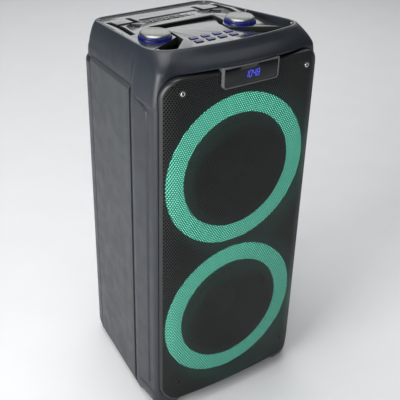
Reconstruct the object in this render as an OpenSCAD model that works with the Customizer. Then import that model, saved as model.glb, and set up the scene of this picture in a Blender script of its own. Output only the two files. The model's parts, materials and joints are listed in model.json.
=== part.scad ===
// Party speaker: two woofers behind one perforated grille, a light ring round each,
// and a control deck with two illuminated knobs in the top.
// Millimetres, +Z up, the front looks towards -Y, and the origin is on the floor under the middle.

/* [Cabinet] */
// Width at the widest place of the sides
body_w = 307; // [303:1:311]
// Depth from the display to the rear cover
body_d = 320; // [316:1:326]
// How much each side closes in per millimetre of depth
side_taper = 0.1; // [0.08:0.005:0.11]
// Thickness of the moulded outer skins
skin = 4; // [3:0.5:5]
// Height of the seam between the cabinet and the top shell
split_z = 600; // [594:1:604]
// Height of the rim over the middle of the front
rim_z = 684; // [682:1:686]
// How far the rim falls per millimetre towards the back
rim_slope = 0.104; // [0.1:0.002:0.106]
// Height of the rubber feet
foot_h = 8; // [6:1:10]

/* [Front] */
// Height of the grille's lower edge
grille_low_z = 27; // [25:1:30]
// Height of the grille's upper edge
grille_high_z = 652; // [648:1:654]
// Width of the grille
grille_w = 290; // [286:1:291]
// Corner radius of the grille
grille_r = 31; // [25:1:36]
// How far the grille's middle stands in front of the baffle
grille_bulge = 22; // [18:1:23]
// Width of the display
display_w = 102; // [94:1:104]
// Height of the display
display_h = 33; // [30:1:34]

/* [Woofers and light rings] */
// Height between the two woofer axes
woofer_pitch = 285; // [282:1:288]
// Height of the lower woofer axis
woofer_low_z = 180.5; // [178:0.5:184]
// Outer radius of a light ring
ring_r = 134; // [130:1:135]
// Outer radius of a woofer frame, which is the light ring's inner radius
frame_r = 102; // [98:1:104]
// Largest travel of a cone each way
cone_travel = 5; // [3:1:6]

/* [Control deck] */
// Height of the deck's top face
deck_z = 665; // [663:1:667]
// Distance of each knob from the middle
knob_x = 81; // [79:1:83]
// Distance of the knobs behind the baffle's front face
knob_depth = 119; // [116:1:121]
// Outer radius of the light ring under a knob
knob_ring_r = 27; // [24:1:27]
// Radius of a knob's metal cap
knob_r = 24.5; // [22:0.5:25]
// Distance between button middles across the deck
button_pitch_x = 22; // [20:0.5:22]
// Distance between the two rows of buttons
button_pitch_y = 15.5; // [13:0.5:17]
// Travel of a button
button_travel = 1.2; // [0.8:0.1:1.5]

/* [Rear] */
// Width of the amplifier plate
amp_w = 150; // [140:1:160]
// Height of the amplifier plate
amp_h = 190; // [180:1:200]
// Height of the amplifier plate's middle
amp_z = 165; // [160:1:180]
// Half the rocker's swing, which is its lean at rest
rocker_lean = 10; // [6:1:12]

/* [Hidden] */
$fn = 64;
hull_fn = 32;
eps = 0.01;
big = 1000;
front_y = -body_d / 2;
rear_y = body_d / 2;
baffle_y = front_y + 27;
wide_y = baffle_y + 64;
strip_y = baffle_y + 78;
baffle_t = 15;
baffle_w = 278;
baffle_corner_r = 27;
cabinet_wall = 8;
back_corner_r = 45;
cover_y = rear_y - back_corner_r - 6;
frame_edge_x = 147;
sheet = 1.5;
seam = 0.3;
tray_z = 650;
tray_t = 4;
baffle_low_z = grille_low_z + 1;
baffle_high_z = tray_z - tray_t - seam;
panel_t = 3;
deck_t = 3;
deck_flat_depth = 186;
deck_fall = 0.11;
rim_y = baffle_y + 7;
screw_x = 115;
screw_z = [68, 629.5];
display_low_z = grille_high_z + 6 - display_h;
display_front = 27;
shaft_r = 3;
shaft_fit = 0.05;
jack_depth = 193;
knob_gap = 0.5;
knob_z = deck_z + 6.5;
woofer_z = [woofer_low_z, woofer_low_z + woofer_pitch];
cone_r = 82;
magnet_r = 60;
coil_r = 19;
foot_x = 104;
foot_y = [front_y + 46, rear_y - 38];
button_x0 = 3.5;
button_size = [13, 9, 5.35];
rocker_y = rear_y - 11;
rocker_z = amp_z - 70;
rocker_x = -38;
inlet_x = 30;
rocker_r = 9.5;
rocker_pin_r = 1.5;
pin_fit = 0.05;
bottom_corner_r = 14;
port_x = 0;
port_z = 470;
port_r = 30;

// Sections of the top shell: height over the rim's front, fall per millimetre towards the back,
// inset of the sides and back, front face ahead of the baffle, front corner radius
SHELL = [
    [split_z, 0, 4, 12, 14],
    [630, 0.06, 4.8, 12, 14],
    [grille_high_z, rim_slope, 7.2, 12, 16],
    [664, rim_slope, 10, 8.5, 24],
    [675, rim_slope, 13.7, 1.5, 32],
    [rim_z + 3, rim_slope, 19.6, -9.5, 38]
];

// ---- outlines seen from above -------------------------------------------------------------

// Half the width of the side surface at a given depth
function side_x(y) = body_w / 2 - side_taper * max(0, y - wide_y);

function arc(x, y, r, from, to, steps = 8) =
    [for (i = [0:steps]) let (a = from + (to - from) * i / steps) [x + r * cos(a), y + r * sin(a)]];

function mirrored(half) =
    concat(half, [for (i = [len(half) - 1:-1:0]) if (half[i][0] > eps) [-half[i][0], half[i][1]]]);

// The tapered sides and rounded back corners, moved in by inset
function back_half(inset, from_y) =
    let (r = back_corner_r - inset, x = side_x(rear_y - back_corner_r) - inset)
    concat([[side_x(from_y) - inset, from_y]],
           arc(x - r, rear_y - inset - r, r, 0, 90),
           [[0, rear_y - inset]]);

// The whole closed outline of the top shell at one height
function shell_half(inset, ahead, corner_r) =
    let (w = body_w / 2 - inset,
         bulge = 12 + (12 - ahead) * 0.37,
         run = w - corner_r,
         y0 = baffle_y - ahead)
    concat([for (i = [0:6]) let (x = run * i / 6) [x, y0 + bulge * pow(x / w, 2)]],
           arc(run, y0 + bulge * pow(run / w, 2) + corner_r, corner_r, -78, 0),
           back_half(inset, wide_y));

// Front face of the frame's edge round the grille
function frame_face(x) = baffle_y - 12 + 12 * pow(x / frame_edge_x, 2);

// Front face of the grille's sheet
function grille_face(x) = baffle_y - grille_bulge + 8 * pow(2 * x / grille_w, 2);

// A rectangle with round corners, width along X
module round_rect(w, h, r) {
    square([w, h - 2 * r], center = true);
    square([w - 2 * r, h], center = true);
    for (x = [-1, 1], y = [-1, 1])
        translate([x * (w / 2 - r), y * (h / 2 - r)]) circle(r);
}

// Extrudes a front view (X across, Z up) along Y between two depths
module along_y(from, to) {
    translate([0, to, 0]) rotate([90, 0, 0]) linear_extrude(to - from) children();
}

// Extrudes a view from above between two heights
module up(from, to) {
    translate([0, 0, from]) linear_extrude(to - from) children();
}

// A slab of space used to cut or keep a region: x, y and z limits
module region(x = [-big, big], y = [-big, big], z = [-big, big]) {
    translate([x[0], y[0], z[0]]) cube([x[1] - x[0], y[1] - y[0], z[1] - z[0]]);
}

// Turns what is drawn at height 0 about the line of the rim's front so that it falls to the back
module tilted(z, fall) {
    translate([0, rim_y, z]) rotate([-atan(fall), 0, 0]) translate([0, -rim_y, 0]) children();
}

// The space above the rim's sloping plane, lowered by drop
module above_rim(drop = 0) {
    tilted(rim_z - drop, rim_slope) translate([-big / 2, -big / 2, 0]) cube([big, big, big / 4]);
}

// ---- cabinet ------------------------------------------------------------------------------

module cabinet_plan(inset) {
    half = concat([[0, baffle_y + baffle_t], [frame_edge_x - skin - inset, baffle_y + baffle_t]],
                  back_half(skin + inset, wide_y));
    polygon(mirrored(half));
}

module cabinet() {
    color("#22262b") difference() {
        up(foot_h, split_z) cabinet_plan(0);
        up(foot_h + cabinet_wall, split_z + eps) intersection() {
            cabinet_plan(cabinet_wall - skin);
            translate([-big / 2, -big / 2]) square([big, big / 2 + rear_y - skin - cabinet_wall]);
        }
        region(x = [-baffle_w / 2 + 4, baffle_w / 2 - 4], y = [baffle_y, baffle_y + baffle_t + 12],
               z = [grille_low_z + 6, split_z + 1]);
        along_y(rear_y - 30, rear_y + 1) translate([0, amp_z]) round_rect(amp_w - 16, amp_h - 16, 8);
        along_y(rear_y - 30, rear_y + 1) translate([port_x, port_z]) circle(port_r + 3);
    }
}

module rear_cover() {
    color("#1b1e22") difference() {
        up(foot_h, split_z - 1) polygon(mirrored(concat([[0, cover_y]], back_half(0, cover_y))));
        up(foot_h - 1, split_z) cabinet_plan(-eps);
        along_y(rear_y - 30, rear_y + 1) translate([0, amp_z]) round_rect(amp_w - 16, amp_h - 16, 8);
        along_y(rear_y - 2, rear_y + 1) translate([0, amp_z]) round_rect(amp_w + 0.4, amp_h + 0.4, 10);
        along_y(rear_y - 30, rear_y + 1) translate([port_x, port_z]) circle(port_r + 3);
        for (i = [0:5])
            region(x = [-60, 60], y = [rear_y - 1.5, rear_y + 1], z = [310 + i * 14, 314 + i * 14]);
    }
}

module side_panel(side) {
    color("#4a4f56") difference() {
        mirror([side < 0 ? 1 : 0, 0, 0]) intersection() {
            up(foot_h + 4, split_z + 20) difference() {
                polygon(concat([[0, strip_y + seam]], back_half(0, strip_y + seam)));
                cabinet_plan(-eps);
            }
            region(x = [0, big], y = [strip_y + seam, cover_y - seam]);
        }
        translate([0, strip_y, split_z + 16]) rotate([-atan(14 / 217), 0, 0])
            translate([-big / 2, -big / 2, 0]) cube([big, big, 50]);
    }
}

module frame_plan() {
    half = concat([for (x = [0:21:frame_edge_x]) [x, frame_face(x)]],
                  [[body_w / 2, wide_y], [side_x(strip_y), strip_y], [0, strip_y]]);
    polygon(mirrored(half));
}

module frame_opening(grow) {
    translate([0, (grille_low_z + grille_high_z) / 2])
        round_rect(grille_w + 2 * grow, grille_high_z - grille_low_z + 2 * grow, grille_r + grow);
}

// Straight sides up to the shell's seam, then drawn in to meet the shell
module frame_block() {
    whole_h = rim_z - foot_h;
    intersection() {
        up(foot_h, split_z) frame_plan();
        along_y(front_y, strip_y) translate([0, foot_h + whole_h / 2])
            round_rect(body_w, whole_h, bottom_corner_r);
    }
    hull() {
        up(split_z - eps, split_z) frame_plan();
        intersection() {
            shell_slices(0);
            region(y = [front_y, strip_y], z = [split_z + 40, grille_high_z + 1]);
        }
    }
}

module front_frame() {
    color("#23272d") difference() {
        frame_block();
        along_y(front_y - 10, baffle_y + 8) frame_opening(1);
        along_y(front_y, strip_y + 1) frame_opening(-4);
        region(x = [-baffle_w / 2 - 0.2, baffle_w / 2 + 0.2],
               y = [baffle_y + 6, strip_y + 1], z = [grille_low_z - 3, grille_high_z + 10]);
        up(foot_h - 1, split_z) cabinet_plan(-eps);
        up(split_z - eps, grille_high_z + 2) cabinet_plan(skin + 2);
    }
}

// ---- top shell and deck -------------------------------------------------------------------

module shell_slices(inset) {
    hull() for (s = SHELL)
        tilted(s[0], s[1]) linear_extrude(eps)
            polygon(mirrored(shell_half(s[2] + inset, s[3] - inset, s[4] - inset / 2)));
}

module top_shell() {
    color("#2a2e35") difference() {
        intersection() {
            shell_slices(0);
            region(z = [split_z, rim_z + 2]);
        }
        shell_slices(skin);
        above_rim();
        region(y = [front_y - 20, strip_y + seam], z = [split_z - 10, grille_high_z + 1 + seam]);
    }
}

// Outline that fits inside the rim's lip
module deck_outline(inset) {
    polygon(mirrored(shell_half(23 + inset, -11.6 - inset, 34)));
}

// Centre well between the knob pods: right half, then mirrored
module centre_well(grow) {
    half = [[0, -20], [140, -20], [140, 58 + grow], [50 - grow, 106 + grow], [50 - grow, 124],
            [62 + grow, 140], [62 + grow, 170 + grow], [0, 170 + grow]];
    translate([0, baffle_y]) polygon(mirrored(half));
}

// Grooves and recesses in the deck on both sides
module side_wells(grow) {
    for (s = [-1, 1]) translate([0, baffle_y]) {
        translate([s * 81, 205]) square([42 + 2 * grow, 8 + 2 * grow], center = true);
        translate([s * 65, 222]) square([8 + 2 * grow, 34 + 2 * grow], center = true);
        translate([s * 104, 190]) square([9 + 2 * grow, 84 + 2 * grow], center = true);
    }
}

module diamonds(grow) {
    for (s = [-1, 1]) translate([s * 79, baffle_y + 187]) rotate(45) square(20 + 2 * grow, center = true);
}

module jack_holes(grow) {
    translate([0, baffle_y + jack_depth]) {
        translate([-41, 0]) circle(5.6 + grow);
        translate([-15, 0]) circle(5.6 + grow);
        translate([4, 0]) circle(4.1 + grow);
        translate([24, 0]) square([15.4 + 2 * grow, 8.4 + 2 * grow], center = true);
    }
}

// Window in the deck for the row of sockets
module socket_window(grow) {
    translate([-54 - grow, baffle_y + jack_depth - 9 - grow]) square([88 + 2 * grow, 18 + 2 * grow]);
}

module knob_holes(grow) {
    for (s = [-1, 1]) translate([s * knob_x, baffle_y + knob_depth]) circle(8 + grow);
}

module deck_tray() {
    color("#0c0d0f") difference() {
        up(tray_z - tray_t, tray_z) intersection() {
            deck_outline(-2.2);
            translate([-body_w, baffle_y + 8 + seam]) square([2 * body_w, body_d]);
        }
        up(tray_z - 10, tray_z + 10) {
            jack_holes(0);
            knob_holes(0);
        }
    }
}

// The space above the deck's falling back part, lowered by drop
module above_deck_fall(drop) {
    translate([0, baffle_y + deck_flat_depth, deck_z - drop]) rotate([-atan(deck_fall), 0, 0])
        translate([-big / 2, 0, 0]) cube([big, big / 2, 40]);
}

module control_deck() {
    color("#101214") difference() {
        up(tray_z, deck_z) difference() {
            deck_outline(0);
            centre_well(0);
            side_wells(0);
        }
        difference() {
            up(tray_z - 1, deck_z - deck_t) difference() {
                deck_outline(deck_t);
                centre_well(deck_t);
                side_wells(deck_t);
                diamonds(deck_t);
                socket_window(1.5);
                knob_holes(1.5);
            }
            above_deck_fall(deck_t);
        }
        up(tray_z - 2, deck_z + 1) {
            socket_window(0);
            knob_holes(0);
        }
        above_deck_fall(0);
        up(deck_z - 5, deck_z + 1) diamonds(0);
        region(x = [-56, 56], y = [baffle_y + 212, baffle_y + 215.6], z = [deck_z - 3.4, deck_z + 5]);
    }
}

// ---- control panel and buttons ------------------------------------------------------------

module panel_plan(inset) {
    half = [[0, 14 + inset], [88 - inset, 20 + inset], [92 - inset, 44], [46.5 - inset, 92],
            [45 - inset, 128], [50 - inset, 142], [48 - inset, 150 - inset], [0, 150 - inset]];
    translate([0, baffle_y]) polygon(mirrored(half));
}

// Middle of button n, counted 1 to 4 in the back row and 5 to 8 in the front row
function button_at(n) = [
    button_x0 + ((n - 1) % 4 - 1.5) * button_pitch_x,
    baffle_y + 81 + (n <= 4 ? 0.5 : -0.5) * button_pitch_y
];

module control_panel() {
    clear = 0.25;
    color("#15181b") difference() {
        up(tray_z, deck_z) panel_plan(0);
        up(tray_z - 1, deck_z - panel_t) panel_plan(2);
        for (n = [1:8]) translate([button_at(n)[0], button_at(n)[1], deck_z])
            cube([button_size[0] + 2 * clear, button_size[1] + 2 * clear, 20], center = true);
    }
}

module button(n) {
    flange = 1.2;
    color("#26305c") translate([button_at(n)[0], button_at(n)[1], deck_z + button_travel - 0.1]) {
        translate([0, 0, -button_size[2] / 2]) cube(button_size, center = true);
        translate([0, 0, -button_size[2] + flange / 2])
            cube([button_size[0] + 2, button_size[1] + 2, flange], center = true);
    }
}

// ---- knobs --------------------------------------------------------------------------------

module at_knob(side, z) {
    translate([side * knob_x, baffle_y + knob_depth, z]) children();
}

// Metal cap with a hub that reaches down inside the light ring
module knob(side) {
    color("#a9adb0") at_knob(side, 0) difference() {
        rotate_extrude() polygon([[0, deck_z + 1.5], [20.5, deck_z + 1.5], [20.5, knob_z],
                                  [knob_r, knob_z], [knob_r, knob_z + 2.6], [knob_r - 1.2, knob_z + 3.8],
                                  [0, knob_z + 3.8]]);
        translate([0, 0, deck_z - 5]) cylinder(r = shaft_r, h = 11);
        rotate_extrude() polygon([[9, deck_z], [17.5, deck_z], [17.5, knob_z], [9, knob_z]]);
    }
}

module knob_shaft(side) {
    color("#8d9194") at_knob(side, deck_z - 11) cylinder(r = shaft_r, h = 17);
}

module knob_ring(side) {
    color("#3c48c8") at_knob(side, deck_z) difference() {
        rotate_extrude() polygon([[21.2, 0], [knob_ring_r, 0], [knob_ring_r, 2.4],
                                  [knob_r + 0.3, knob_z - deck_z - knob_gap], [21.2, knob_z - deck_z - knob_gap]]);
    }
}

// Rotary encoder hung under the deck, with the bushing that guides the shaft
module encoder(side) {
    color("#5b5f63") at_knob(side, 0) difference() {
        union() {
            translate([0, 0, deck_z - 30]) cylinder(r = 7, h = 28);
            translate([0, 0, deck_z - 28]) cube([12, 13, 10], center = true);
        }
        translate([0, 0, deck_z - 12]) cylinder(r = shaft_r + shaft_fit, h = 20);
    }
}

// ---- sockets in the deck ------------------------------------------------------------------

// Tile round a socket, from x = low to x = high in the deck's window
module socket_tile(low, high) {
    region(x = [low + seam, high - seam],
           y = [baffle_y + jack_depth - 9 + seam, baffle_y + jack_depth + 9 - seam],
           z = [deck_z - 4, deck_z - 1.2]);
}

module jack(x, low, high, outer_r, bore_r, depth) {
    color("#1a1b1d") difference() {
        union() {
            socket_tile(low, high);
            translate([x, baffle_y + jack_depth, deck_z - depth - 3]) cylinder(r = outer_r, h = depth + 3);
        }
        translate([x, baffle_y + jack_depth, deck_z - depth]) cylinder(r = bore_r, h = depth + 5);
    }
}

module usb_port() {
    color("#9a9da1") difference() {
        union() {
            socket_tile(15.5, 34);
            translate([24, baffle_y + jack_depth, deck_z - 9.5]) cube([15, 8, 19], center = true);
        }
        translate([24, baffle_y + jack_depth, deck_z - 4]) cube([12.4, 4.9, 24], center = true);
    }
}

// ---- front: baffle, grille, display -------------------------------------------------------

module baffle() {
    color("#17191c") difference() {
        along_y(baffle_y, baffle_y + baffle_t) translate([0, (baffle_low_z + baffle_high_z) / 2])
            round_rect(baffle_w, baffle_high_z - baffle_low_z, baffle_corner_r);
        for (z = woofer_z) {
            along_y(baffle_y - 1, baffle_y + baffle_t + 1) translate([0, z]) circle(frame_r - 9);
            along_y(baffle_y - 1, baffle_y + 8) translate([0, z]) difference() {
                circle(ring_r - 5);
                circle(frame_r + 4);
            }
        }
    }
}

module grille_block(shrink) {
    half = concat([for (x = [0:14:126]) [x, grille_face(x) + shrink]],
                  [[136, grille_face(126) + 5 + shrink], [grille_w / 2 - shrink, grille_face(126) + 13],
                   [grille_w / 2 - shrink, baffle_y + (shrink > 0 ? 3 : 0)], [0, baffle_y + (shrink > 0 ? 3 : 0)]]);
    intersection() {
        up(0, rim_z) polygon(mirrored(half));
        along_y(front_y - 20, baffle_y + 10) frame_opening(-shrink);
    }
}

module grille() {
    color("#1d2023") difference() {
        grille_block(0);
        grille_block(sheet);
        region(x = [-display_w / 2 - seam, display_w / 2 + seam], y = [front_y - 5, baffle_y + 5],
               z = [display_low_z - seam, grille_high_z + 5]);
        for (x = [-1, 1], z = screw_z)
            along_y(front_y - 5, baffle_y - 5) translate([x * screw_x, z]) circle(2.1);
    }
}

module grille_screw(n) {
    x = (n % 2 == 1 ? -1 : 1) * screw_x;
    z = screw_z[n <= 2 ? 0 : 1];
    head_y = grille_face(screw_x - 4) - 1.55;
    color("#c4c6c8") translate([x, head_y, z]) rotate([-90, 0, 0]) difference() {
        union() {
            cylinder(r = 4, h = 1.5);
            cylinder(r = 2, h = baffle_y - head_y - 0.1);
        }
        cylinder(r = 1.3, h = 1, $fn = 6, center = true);
    }
}

module display_face(grow) {
    r = 6;
    translate([0, display_low_z + display_h / 2]) {
        translate([0, r / 2]) square([display_w + 2 * grow, display_h - r + 2 * grow], center = true);
        square([display_w - 2 * r, display_h + 2 * grow], center = true);
        for (s = [-1, 1]) translate([s * (display_w / 2 - r), r - display_h / 2]) circle(r + grow);
    }
}

module display_bezel() {
    color("#6d7278") difference() {
        along_y(front_y, baffle_y - 8) display_face(0);
        along_y(front_y - 1, baffle_y) display_face(-2);
        region(x = [-body_w, body_w], y = [baffle_y - 13, baffle_y], z = [grille_high_z - 0.2, rim_z]);
    }
}

module display_window() {
    color("#08090c") along_y(front_y + 1, front_y + 3.5) display_face(-2.05);
}

module display_module() {
    color("#24307a") region(x = [-30, 34], y = [front_y + 4, front_y + 11],
                            z = [display_low_z + 6, display_low_z + display_h - 5]);
}

// ---- woofers and light rings --------------------------------------------------------------

// Places a profile that turns about the woofer's axis: X is radius, Y is depth behind the baffle
module woofer_turn(z) {
    translate([0, baffle_y, z]) rotate([-90, 0, 0]) rotate_extrude($fn = 128) children();
}

module ring_lens(z) {
    color("#7fd6bd") woofer_turn(z)
        polygon([[frame_r + 0.5, 0], [ring_r, 0], [ring_r, -3], [ring_r - 3, -5], [frame_r + 3, -5],
                 [frame_r + 0.5, -3]]);
}

module ring_board(z) {
    color("#0f4a35") woofer_turn(z)
        translate([frame_r + 6, 6.4]) square([ring_r - frame_r - 13, 1.6]);
}

module woofer_frame(z) {
    color("#2c2f33") woofer_turn(z)
        polygon([[frame_r, 0], [frame_r, -4], [cone_r + 11, -4], [cone_r + 11, -1.2], [frame_r - 10, -1.2],
                 [frame_r - 10, 14], [magnet_r - 6, 56], [magnet_r - 6, 60], [26, 60], [26, 62.5],
                 [magnet_r - 3, 62.5], [magnet_r - 3, 57], [frame_r - 9.2, 15], [frame_r - 9.2, 0]]);
}

module woofer_magnet(z) {
    color("#3b3d40") woofer_turn(z) {
        polygon([[26, 62.5], [magnet_r, 62.5], [magnet_r, 84], [magnet_r - 5, 90], [0, 90], [0, 85], [26, 85]]);
        translate([0, 60]) square([coil_r - 1.4, 26]);
    }
}

// Rubber roll between the frame and the cone
module woofer_surround(z) {
    roll_r = (91.6 - cone_r - 0.6) / 2;
    color("#121314") woofer_turn(z) difference() {
        union() {
            translate([cone_r + 0.6 + roll_r, 0]) circle(roll_r, $fn = 24);
            translate([cone_r + 8.5, -2.2]) square([2.4, 1]);
        }
        translate([cone_r + 0.6 + roll_r, 0.001]) circle(roll_r - 1, $fn = 24);
        translate([0, 1]) square([big, 20]);
    }
}

// Paper cone on its coil former
module woofer_cone(z) {
    color("#1f2124") woofer_turn(z)
        polygon([[cone_r, -1], [cone_r, 1.2], [coil_r + 1, 44], [coil_r + 1, 74], [coil_r, 74], [coil_r, 42],
                 [cone_r - 2, -1]]);
}

module dust_cap(z) {
    centre_depth = 45;
    sphere_r = 38;
    color("#17181a") woofer_turn(z) intersection() {
        translate([0, centre_depth]) difference() {
            circle(sphere_r);
            circle(sphere_r - 1.2);
        }
        square([35, 30.3]);
    }
}

// ---- rear ---------------------------------------------------------------------------------

module amp_plate() {
    color("#16181a") difference() {
        union() {
            along_y(rear_y - 2, rear_y - 0.2) translate([0, amp_z]) round_rect(amp_w, amp_h, 10);
            along_y(rear_y - 14, rear_y - 2) translate([0, amp_z]) round_rect(amp_w - 24, amp_h - 24, 6);
            for (i = [0:8])
                region(x = [-60 + i * 15 - 1.2, -60 + i * 15 + 1.2], y = [rear_y - 2, rear_y],
                       z = [amp_z - 20, amp_z + 82]);
        }
        region(x = [rocker_x - 14.2, rocker_x + 14.2], y = [rear_y - 20, rear_y + 1],
               z = [rocker_z - 10.2, rocker_z + 10.2]);
        rocker_pin(rocker_pin_r + pin_fit, 2);
        region(x = [inlet_x - 13.2, inlet_x + 13.2], y = [rear_y - 20, rear_y + 1],
               z = [rocker_z - 8.7, rocker_z + 8.7]);
    }
}

// Pin along X that carries the rocker, standing out past both its ends
module rocker_pin(r, stand_out) {
    translate([rocker_x - 13 - stand_out, rocker_y, rocker_z]) rotate([0, 90, 0])
        cylinder(r = r, h = 26 + 2 * stand_out);
}

// Rocker that leans on one stop at rest and turns about its own pin
module power_switch() {
    color("#8c1c1c") {
        translate([rocker_x, rocker_y, rocker_z]) rotate([-rocker_lean, 0, 0]) intersection() {
            translate([-13, 0, 0]) rotate([0, 90, 0]) cylinder(r = rocker_r, h = 26);
            translate([-15, -4, -rocker_r]) cube([30, 13, 2 * rocker_r]);
        }
        rocker_pin(rocker_pin_r, 1.9);
    }
}

module mains_inlet() {
    color("#0e0f10") difference() {
        region(x = [inlet_x - 13, inlet_x + 13], y = [rear_y - 26, rear_y - 0.2],
               z = [rocker_z - 8.5, rocker_z + 8.5]);
        along_y(rear_y - 20, rear_y + 1) translate([inlet_x, rocker_z]) round_rect(17, 9.5, 4);
    }
    color("#b8babd") for (s = [-1, 1])
        translate([inlet_x + s * 4.3, rear_y - 12, rocker_z]) rotate([90, 0, 0]) cylinder(r = 1.2, h = 12);
}

module reflex_port() {
    color("#131517") translate([port_x, rear_y, port_z]) rotate([90, 0, 0]) rotate_extrude()
        polygon([[port_r + 2.5, 0.2], [port_r + 2.9, 0.6], [port_r + 2.9, 90], [port_r, 90], [port_r, 4]]);
}

module foot(n) {
    x = (n % 2 == 1 ? -1 : 1) * foot_x;
    color("#0a0a0b") translate([x, foot_y[n <= 2 ? 0 : 1], 0]) rotate_extrude()
        polygon([[0, 0], [13, 0], [14.5, 2], [15, foot_h], [0, foot_h]]);
}

// ---- the parts ----------------------------------------------------------------------------

cabinet();
rear_cover();
front_frame();
top_shell();
side_panel(-1);  // side_panel_left
side_panel(1);  // side_panel_right
baffle();
grille();
for (n = [1:4]) grille_screw(n);
display_bezel();
display_window();
display_module();
for (k = [["lower", woofer_z[0]], ["upper", woofer_z[1]]]) {
    ring_lens(k[1]);
    ring_board(k[1]);
    woofer_frame(k[1]);
    woofer_magnet(k[1]);
    woofer_surround(k[1]);
    woofer_cone(k[1]);
    dust_cap(k[1]);
}
deck_tray();
control_deck();
control_panel();
for (n = [1:8]) button(n);
for (k = [["left", -1], ["right", 1]]) {
    knob(k[1]);
    knob_shaft(k[1]);
    knob_ring(k[1]);
    encoder(k[1]);
}
jack(-41, -54, -28, 5.5, 3.2, 28);  // jack_mic
jack(-15, -28, -4.5, 5.5, 3.2, 28);  // jack_guitar
jack(4, -4.5, 15.5, 4, 1.78, 15);  // jack_aux
usb_port();
amp_plate();
power_switch();
mains_inlet();
reflex_port();
for (n = [1:4]) foot(n);
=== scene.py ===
"""Looks of a party speaker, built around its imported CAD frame.

Lengths inside the shape functions are millimetres in the CAD frame (front -Y, +Z up); add_mesh() turns
them into metres. Sizes come from the frame's own nodes wherever a node carries them.
"""
import json
import math
from contextlib import contextmanager

import bmesh
import bpy
import numpy as np
from mathutils import Matrix, Vector


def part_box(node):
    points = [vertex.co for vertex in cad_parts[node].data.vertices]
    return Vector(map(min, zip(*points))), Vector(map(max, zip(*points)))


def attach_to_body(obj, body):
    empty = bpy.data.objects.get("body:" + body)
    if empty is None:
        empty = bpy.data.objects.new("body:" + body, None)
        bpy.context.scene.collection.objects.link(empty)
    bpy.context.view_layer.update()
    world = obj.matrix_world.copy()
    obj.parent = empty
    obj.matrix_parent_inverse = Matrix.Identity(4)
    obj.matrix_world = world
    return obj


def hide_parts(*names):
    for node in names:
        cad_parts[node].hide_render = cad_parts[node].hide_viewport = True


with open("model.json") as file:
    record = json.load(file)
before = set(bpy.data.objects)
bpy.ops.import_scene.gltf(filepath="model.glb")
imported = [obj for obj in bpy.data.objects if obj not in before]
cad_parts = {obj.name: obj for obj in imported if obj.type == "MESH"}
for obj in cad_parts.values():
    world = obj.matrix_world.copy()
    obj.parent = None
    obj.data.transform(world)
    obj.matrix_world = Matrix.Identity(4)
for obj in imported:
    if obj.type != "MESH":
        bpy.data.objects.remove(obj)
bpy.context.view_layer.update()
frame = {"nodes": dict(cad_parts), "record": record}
scene = bpy.context.scene
MM = 0.001
BODY = {n: b for b, members in frame["record"]["behaviour"]["bodies"].items() for n in members}


def box_mm(node):
    """Lowest and highest corner of a CAD node, in millimetres."""
    low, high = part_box(node)
    return low / MM, high / MM


def middle_of(node):
    """Middle of a CAD node's box."""
    low, high = box_mm(node)
    return (low + high) / 2


def radius_of(node):
    """Half the width of a CAD node."""
    low, high = box_mm(node)
    return (high.x - low.x) / 2


# ---- main sizes, read from the frame --------------------------------------------------------

BODY_W = box_mm("front_frame")[1].x * 2
FRONT_Y = box_mm("display_bezel")[0].y
REAR_Y = box_mm("rear_cover")[1].y
BAFFLE_Y = box_mm("baffle")[0].y
STRIP_Y = box_mm("front_frame")[1].y
WIDE_Y = STRIP_Y - 14
GRILLE_LOW, GRILLE_HIGH = box_mm("grille")[0].z, box_mm("grille")[1].z
GRILLE_W = box_mm("grille")[1].x * 2
GRILLE_R = 31
FOOT_H = box_mm("foot_1")[1].z
SEAM_Z = box_mm("rear_cover")[1].z + 1
RIM_Z = box_mm("top_shell")[1].z
RIM_SLOPE = 0.104
RIM_Y = BAFFLE_Y + 7
BACK_R = 45
SIDE_TAPER = 0.1
COVER_Y = box_mm("rear_cover")[0].y
OPENING_W = GRILLE_W / 2 + 1
OPENING_R = GRILLE_R + 1
OPENING_LOW, OPENING_HIGH = GRILLE_LOW - 1, GRILLE_HIGH + 1
GAP = 0.35

# Sections of the top shell: height over the rim's front, fall per millimetre towards the back,
# inset of the sides and back, front face ahead of the baffle, front corner radius
SHELL = np.array([
    [600, 0, 4, 12, 14],
    [630, 0.06, 4.8, 12, 14],
    [652, RIM_SLOPE, 7.2, 12, 16],
    [664, RIM_SLOPE, 10, 8.5, 24],
    [675, RIM_SLOPE, 13.7, 1.5, 32],
    [687, RIM_SLOPE, 19.6, -9.5, 38],
])


# ---- meshes -----------------------------------------------------------------------------------

@contextmanager
def edited(mesh):
    """Opens a mesh for editing and writes it back at the end."""
    work = bmesh.new()
    work.from_mesh(mesh)
    yield work
    work.to_mesh(mesh)
    work.free()


def shade(mesh, angle=35):
    """Smooth shading that keeps edges sharper than the angle crisp."""
    mesh.shade_smooth()
    if angle < 180:
        mesh.set_sharp_from_angle(angle=math.radians(angle))


def add_mesh(name, verts, faces, material, angle=35):
    """A new object from vertices in millimetres."""
    mesh = bpy.data.meshes.new(name)
    mesh.from_pydata((np.asarray(verts, float) * MM).tolist(), [], faces)
    mesh.update()
    mesh.materials.append(material)
    shade(mesh, angle)
    obj = bpy.data.objects.new(name, mesh)
    scene.collection.objects.link(obj)
    return obj


def modify(obj, kind, angle=35, **settings):
    """Applies one modifier to a piece's mesh."""
    modifier = obj.modifiers.new(kind.title(), kind)
    for key, value in settings.items():
        setattr(modifier, key, value)
    graph = bpy.context.evaluated_depsgraph_get()
    result = bpy.data.meshes.new_from_object(obj.evaluated_get(graph))
    obj.modifiers.clear()
    obj.data = result
    shade(result, angle)
    return obj


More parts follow.
